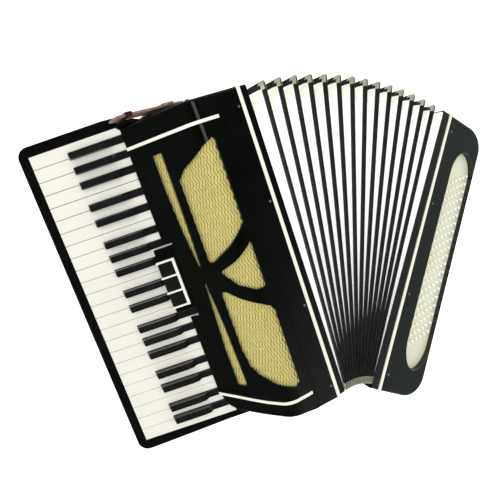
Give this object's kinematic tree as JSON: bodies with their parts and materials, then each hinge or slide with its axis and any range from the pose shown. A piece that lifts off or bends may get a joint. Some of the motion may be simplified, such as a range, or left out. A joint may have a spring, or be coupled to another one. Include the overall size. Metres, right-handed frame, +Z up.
{
  "type": "piano accordion",
  "caption": "Piano accordion lying on its back with fanned bellows, a tilted piano keyboard, a louvred grille cover and a slim bass casing with rows of round buttons.",
  "frame": {"origin": "centre of the bounding box in plan, at the surface the instrument lies on", "axes": "+X from the treble keyboard towards the bass side, +Y towards the chin end, +Z up out of the front of the instrument"},
  "size_m": [0.7194, 0.5717, 0.2053],
  "materials": {
    "black_celluloid": "polished black celluloid",
    "key_white": "polished white",
    "key_black": "polished black",
    "cream_celluloid": "polished cream",
    "button_board": "satin cream",
    "button_white": "polished",
    "gold_mesh": "woven gold wire",
    "bright_metal": "plated",
    "steel": "drawn rod",
    "bellows_tape": "black bellows tape",
    "wood": "planed",
    "back_cloth": "padded velvet",
    "tan_leather": "smooth",
    "black_leather": "smooth",
    "black_knob": "moulded",
    "rubber_foot": "moulded"
  },
  "bodies": {
    "treble_side": {"treble_case": "black_celluloid", "keyboard_bed": "black_celluloid", "grille_cover": "black_celluloid", "grille_mesh": "gold_mesh", "cover_trim": "cream_celluloid", "treble_binding": "cream_celluloid", "treble_bellows_frame": "black_celluloid", "treble_pins": "bright_metal", "key_axle": "steel", "register_frame": "cream_celluloid", "treble_soundboard": "wood", "treble_reed_blocks": "wood", "back_pad": "back_cloth", "shoulder_straps": "tan_leather", "strap_brackets": "bright_metal"},
    "bass_side": {"bass_case": "black_celluloid", "bass_binding": "cream_celluloid", "bass_bellows_frame": "black_celluloid", "bass_pins": "bright_metal", "bass_button_board": "button_board", "bass_strap": "black_leather", "bass_strap_stud": "bright_metal", "bass_soundboard": "wood", "bass_reed_blocks": "wood", "bass_feet": "rubber_foot"},
    "fold_01": {"bellows_fold_01": "bellows_tape"},
    "fold_02": {"bellows_fold_02": "bellows_tape"},
    "fold_03": {"bellows_fold_03": "bellows_tape"},
    "fold_04": {"bellows_fold_04": "bellows_tape"},
    "fold_05": {"bellows_fold_05": "bellows_tape"},
    "fold_06": {"bellows_fold_06": "bellows_tape"},
    "fold_07": {"bellows_fold_07": "bellows_tape"},
    "fold_08": {"bellows_fold_08": "bellows_tape"},
    "fold_09": {"bellows_fold_09": "bellows_tape"},
    "fold_10": {"bellows_fold_10": "bellows_tape"},
    "fold_11": {"bellows_fold_11": "bellows_tape"},
    "fold_12": {"bellows_fold_12": "bellows_tape"},
    "fold_13": {"bellows_fold_13": "bellows_tape"},
    "fold_14": {"bellows_fold_14": "bellows_tape"},
    "keys_f": {"white_keys_f": "key_white"},
    "keys_g": {"white_keys_g": "key_white"},
    "keys_a": {"white_keys_a": "key_white"},
    "keys_b": {"white_keys_b": "key_white"},
    "keys_c": {"white_keys_c": "key_white"},
    "keys_d": {"white_keys_d": "key_white"},
    "keys_e": {"white_keys_e": "key_white"},
    "keys_in_pairs": {"black_keys_in_pairs": "key_black"},
    "keys_in_threes": {"black_keys_in_threes": "key_black"},
    "switch_1": {"register_switch_1": "key_black"},
    "switch_2": {"register_switch_2": "key_black"},
    "switch_3": {"register_switch_3": "key_black"},
    "button_row_1": {"bass_buttons_row_1": "button_white"},
    "button_row_2": {"bass_buttons_row_2": "button_white"},
    "button_row_3": {"bass_buttons_row_3": "button_white"},
    "button_row_4": {"bass_buttons_row_4": "button_white"},
    "button_row_5": {"bass_buttons_row_5": "button_white"},
    "button_row_6": {"bass_buttons_row_6": "button_white"},
    "air_valve": {"air_button": "black_knob"},
    "strap_wheel": {"bass_strap_wheel": "black_knob"}
  },
  "joints": [
    {"name": "bellows_fan", "type": "hinge", "parent": "treble_side", "child": "bass_side", "pos_m": [-0.04711, -0.20567, 0], "axis": [0, 0, 1], "range_deg": [0, 40.9]},
    {"name": "fold_01_swing", "type": "hinge", "parent": "treble_side", "child": "fold_01", "pos_m": [-0.06546, -0.20481, 0], "axis": [0, 0, 1], "range_deg": [0, 2.86]},
    {"name": "fold_02_swing", "type": "hinge", "parent": "treble_side", "child": "fold_02", "pos_m": [-0.06368, -0.20486, 0], "axis": [0, 0, 1], "range_deg": [0, 5.69]},
    {"name": "fold_03_swing", "type": "hinge", "parent": "treble_side", "child": "fold_03", "pos_m": [-0.06189, -0.20493, 0], "axis": [0, 0, 1], "range_deg": [0, 8.49]},
    {"name": "fold_04_swing", "type": "hinge", "parent": "treble_side", "child": "fold_04", "pos_m": [-0.06012, -0.20503, 0], "axis": [0, 0, 1], "range_deg": [0, 11.29]},
    {"name": "fold_05_swing", "type": "hinge", "parent": "treble_side", "child": "fold_05", "pos_m": [-0.05834, -0.20516, 0], "axis": [0, 0, 1], "range_deg": [0, 14.06]},
    {"name": "fold_06_swing", "type": "hinge", "parent": "treble_side", "child": "fold_06", "pos_m": [-0.05657, -0.20532, 0], "axis": [0, 0, 1], "range_deg": [0, 16.82]},
    {"name": "fold_07_swing", "type": "hinge", "parent": "treble_side", "child": "fold_07", "pos_m": [-0.0548, -0.20551, 0], "axis": [0, 0, 1], "range_deg": [0, 19.56]},
    {"name": "fold_08_swing", "type": "hinge", "parent": "treble_side", "child": "fold_08", "pos_m": [-0.05304, -0.20573, 0], "axis": [0, 0, 1], "range_deg": [0, 22.29]},
    {"name": "fold_09_swing", "type": "hinge", "parent": "treble_side", "child": "fold_09", "pos_m": [-0.05128, -0.20597, 0], "axis": [0, 0, 1], "range_deg": [0, 25]},
    {"name": "fold_10_swing", "type": "hinge", "parent": "treble_side", "child": "fold_10", "pos_m": [-0.04953, -0.20624, 0], "axis": [0, 0, 1], "range_deg": [0, 27.7]},
    {"name": "fold_11_swing", "type": "hinge", "parent": "treble_side", "child": "fold_11", "pos_m": [-0.04777, -0.20654, 0], "axis": [0, 0, 1], "range_deg": [0, 30.37]},
    {"name": "fold_12_swing", "type": "hinge", "parent": "treble_side", "child": "fold_12", "pos_m": [-0.04603, -0.20687, 0], "axis": [0, 0, 1], "range_deg": [0, 33.03]},
    {"name": "fold_13_swing", "type": "hinge", "parent": "treble_side", "child": "fold_13", "pos_m": [-0.04428, -0.20723, 0], "axis": [0, 0, 1], "range_deg": [0, 35.68]},
    {"name": "fold_14_swing", "type": "hinge", "parent": "treble_side", "child": "fold_14", "pos_m": [-0.04254, -0.20761, 0], "axis": [0, 0, 1], "range_deg": [0, 38.31]},
    {"name": "press_f", "type": "hinge", "parent": "treble_side", "child": "keys_f", "pos_m": [-0.20006, 0, 0.10354], "axis": [0, -1, 0], "range_deg": [0, 1.6], "stiffness_Nm_per_rad": 9, "springref_deg": -2.86},
    {"name": "press_g", "type": "hinge", "parent": "treble_side", "child": "keys_g", "pos_m": [-0.20006, 0, 0.10354], "axis": [0, -1, 0], "range_deg": [0, 1.6], "stiffness_Nm_per_rad": 9, "springref_deg": -2.86},
    {"name": "press_a", "type": "hinge", "parent": "treble_side", "child": "keys_a", "pos_m": [-0.20006, 0, 0.10354], "axis": [0, -1, 0], "range_deg": [0, 1.6], "stiffness_Nm_per_rad": 9, "springref_deg": -2.86},
    {"name": "press_b", "type": "hinge", "parent": "treble_side", "child": "keys_b", "pos_m": [-0.20006, 0, 0.10354], "axis": [0, -1, 0], "range_deg": [0, 1.6], "stiffness_Nm_per_rad": 9, "springref_deg": -2.86},
    {"name": "press_c", "type": "hinge", "parent": "treble_side", "child": "keys_c", "pos_m": [-0.20006, 0, 0.10354], "axis": [0, -1, 0], "range_deg": [0, 1.6], "stiffness_Nm_per_rad": 9, "springref_deg": -2.86},
    {"name": "press_d", "type": "hinge", "parent": "treble_side", "child": "keys_d", "pos_m": [-0.20006, 0, 0.10354], "axis": [0, -1, 0], "range_deg": [0, 1.6], "stiffness_Nm_per_rad": 9, "springref_deg": -2.86},
    {"name": "press_e", "type": "hinge", "parent": "treble_side", "child": "keys_e", "pos_m": [-0.20006, 0, 0.10354], "axis": [0, -1, 0], "range_deg": [0, 1.6], "stiffness_Nm_per_rad": 9, "springref_deg": -2.86},
    {"name": "press_black_pairs", "type": "hinge", "parent": "treble_side", "child": "keys_in_pairs", "pos_m": [-0.20006, 0, 0.10354], "axis": [0, -1, 0], "range_deg": [0, 1.6], "stiffness_Nm_per_rad": 12, "springref_deg": -2.86},
    {"name": "press_black_threes", "type": "hinge", "parent": "treble_side", "child": "keys_in_threes", "pos_m": [-0.20006, 0, 0.10354], "axis": [0, -1, 0], "range_deg": [0, 1.6], "stiffness_Nm_per_rad": 12, "springref_deg": -2.86},
    {"name": "switch_1_rock", "type": "hinge", "parent": "treble_side", "child": "switch_1", "pos_m": [-0.22446, 0, 0.11162], "axis": [0, -1, 0], "range_deg": [0, 5], "stiffness_Nm_per_rad": 0.06, "springref_deg": -3.44},
    {"name": "switch_2_rock", "type": "hinge", "parent": "treble_side", "child": "switch_2", "pos_m": [-0.22446, 0, 0.11162], "axis": [0, -1, 0], "range_deg": [0, 5], "stiffness_Nm_per_rad": 0.06, "springref_deg": -3.44},
    {"name": "switch_3_rock", "type": "hinge", "parent": "treble_side", "child": "switch_3", "pos_m": [-0.22446, 0, 0.11162], "axis": [0, -1, 0], "range_deg": [0, 5], "stiffness_Nm_per_rad": 0.06, "springref_deg": -3.44},
    {"name": "press_row_1", "type": "slide", "parent": "bass_side", "child": "button_row_1", "axis": [0, 0, -1], "range_m": [0, 0.004], "stiffness_N_per_m": 250, "springref_m": -0.004},
    {"name": "press_row_2", "type": "slide", "parent": "bass_side", "child": "button_row_2", "axis": [0, 0, -1], "range_m": [0, 0.004], "stiffness_N_per_m": 250, "springref_m": -0.004},
    {"name": "press_row_3", "type": "slide", "parent": "bass_side", "child": "button_row_3", "axis": [0, 0, -1], "range_m": [0, 0.004], "stiffness_N_per_m": 250, "springref_m": -0.004},
    {"name": "press_row_4", "type": "slide", "parent": "bass_side", "child": "button_row_4", "axis": [0, 0, -1], "range_m": [0, 0.004], "stiffness_N_per_m": 250, "springref_m": -0.004},
    {"name": "press_row_5", "type": "slide", "parent": "bass_side", "child": "button_row_5", "axis": [0, 0, -1], "range_m": [0, 0.004], "stiffness_N_per_m": 250, "springref_m": -0.004},
    {"name": "press_row_6", "type": "slide", "parent": "bass_side", "child": "button_row_6", "axis": [0, 0, -1], "range_m": [0, 0.004], "stiffness_N_per_m": 250, "springref_m": -0.004},
    {"name": "air_press", "type": "slide", "parent": "bass_side", "child": "air_valve", "axis": [-0.7559, 0.6547, 0], "range_m": [0, 0.004], "stiffness_N_per_m": 250, "springref_m": -0.004},
    {"name": "strap_wheel_turn", "type": "hinge", "parent": "bass_side", "child": "strap_wheel", "pos_m": [0.34574, 0.0958, 0.085], "axis": [0.6547, 0.7559, 0], "continuous": true}
  ],
  "couplings": [
    {"joint": "fold_01_swing", "follows": "bellows_fan", "ratio": 0.069467},
    {"joint": "fold_02_swing", "follows": "bellows_fan", "ratio": 0.13853},
    {"joint": "fold_03_swing", "follows": "bellows_fan", "ratio": 0.2072},
    {"joint": "fold_04_swing", "follows": "bellows_fan", "ratio": 0.27547},
    {"joint": "fold_05_swing", "follows": "bellows_fan", "ratio": 0.34333},
    {"joint": "fold_06_swing", "follows": "bellows_fan", "ratio": 0.4108},
    {"joint": "fold_07_swing", "follows": "bellows_fan", "ratio": 0.47787},
    {"joint": "fold_08_swing", "follows": "bellows_fan", "ratio": 0.54453},
    {"joint": "fold_09_swing", "follows": "bellows_fan", "ratio": 0.6108},
    {"joint": "fold_10_swing", "follows": "bellows_fan", "ratio": 0.67667},
    {"joint": "fold_11_swing", "follows": "bellows_fan", "ratio": 0.74213},
    {"joint": "fold_12_swing", "follows": "bellows_fan", "ratio": 0.8072},
    {"joint": "fold_13_swing", "follows": "bellows_fan", "ratio": 0.87187},
    {"joint": "fold_14_swing", "follows": "bellows_fan", "ratio": 0.93613}
  ]
}
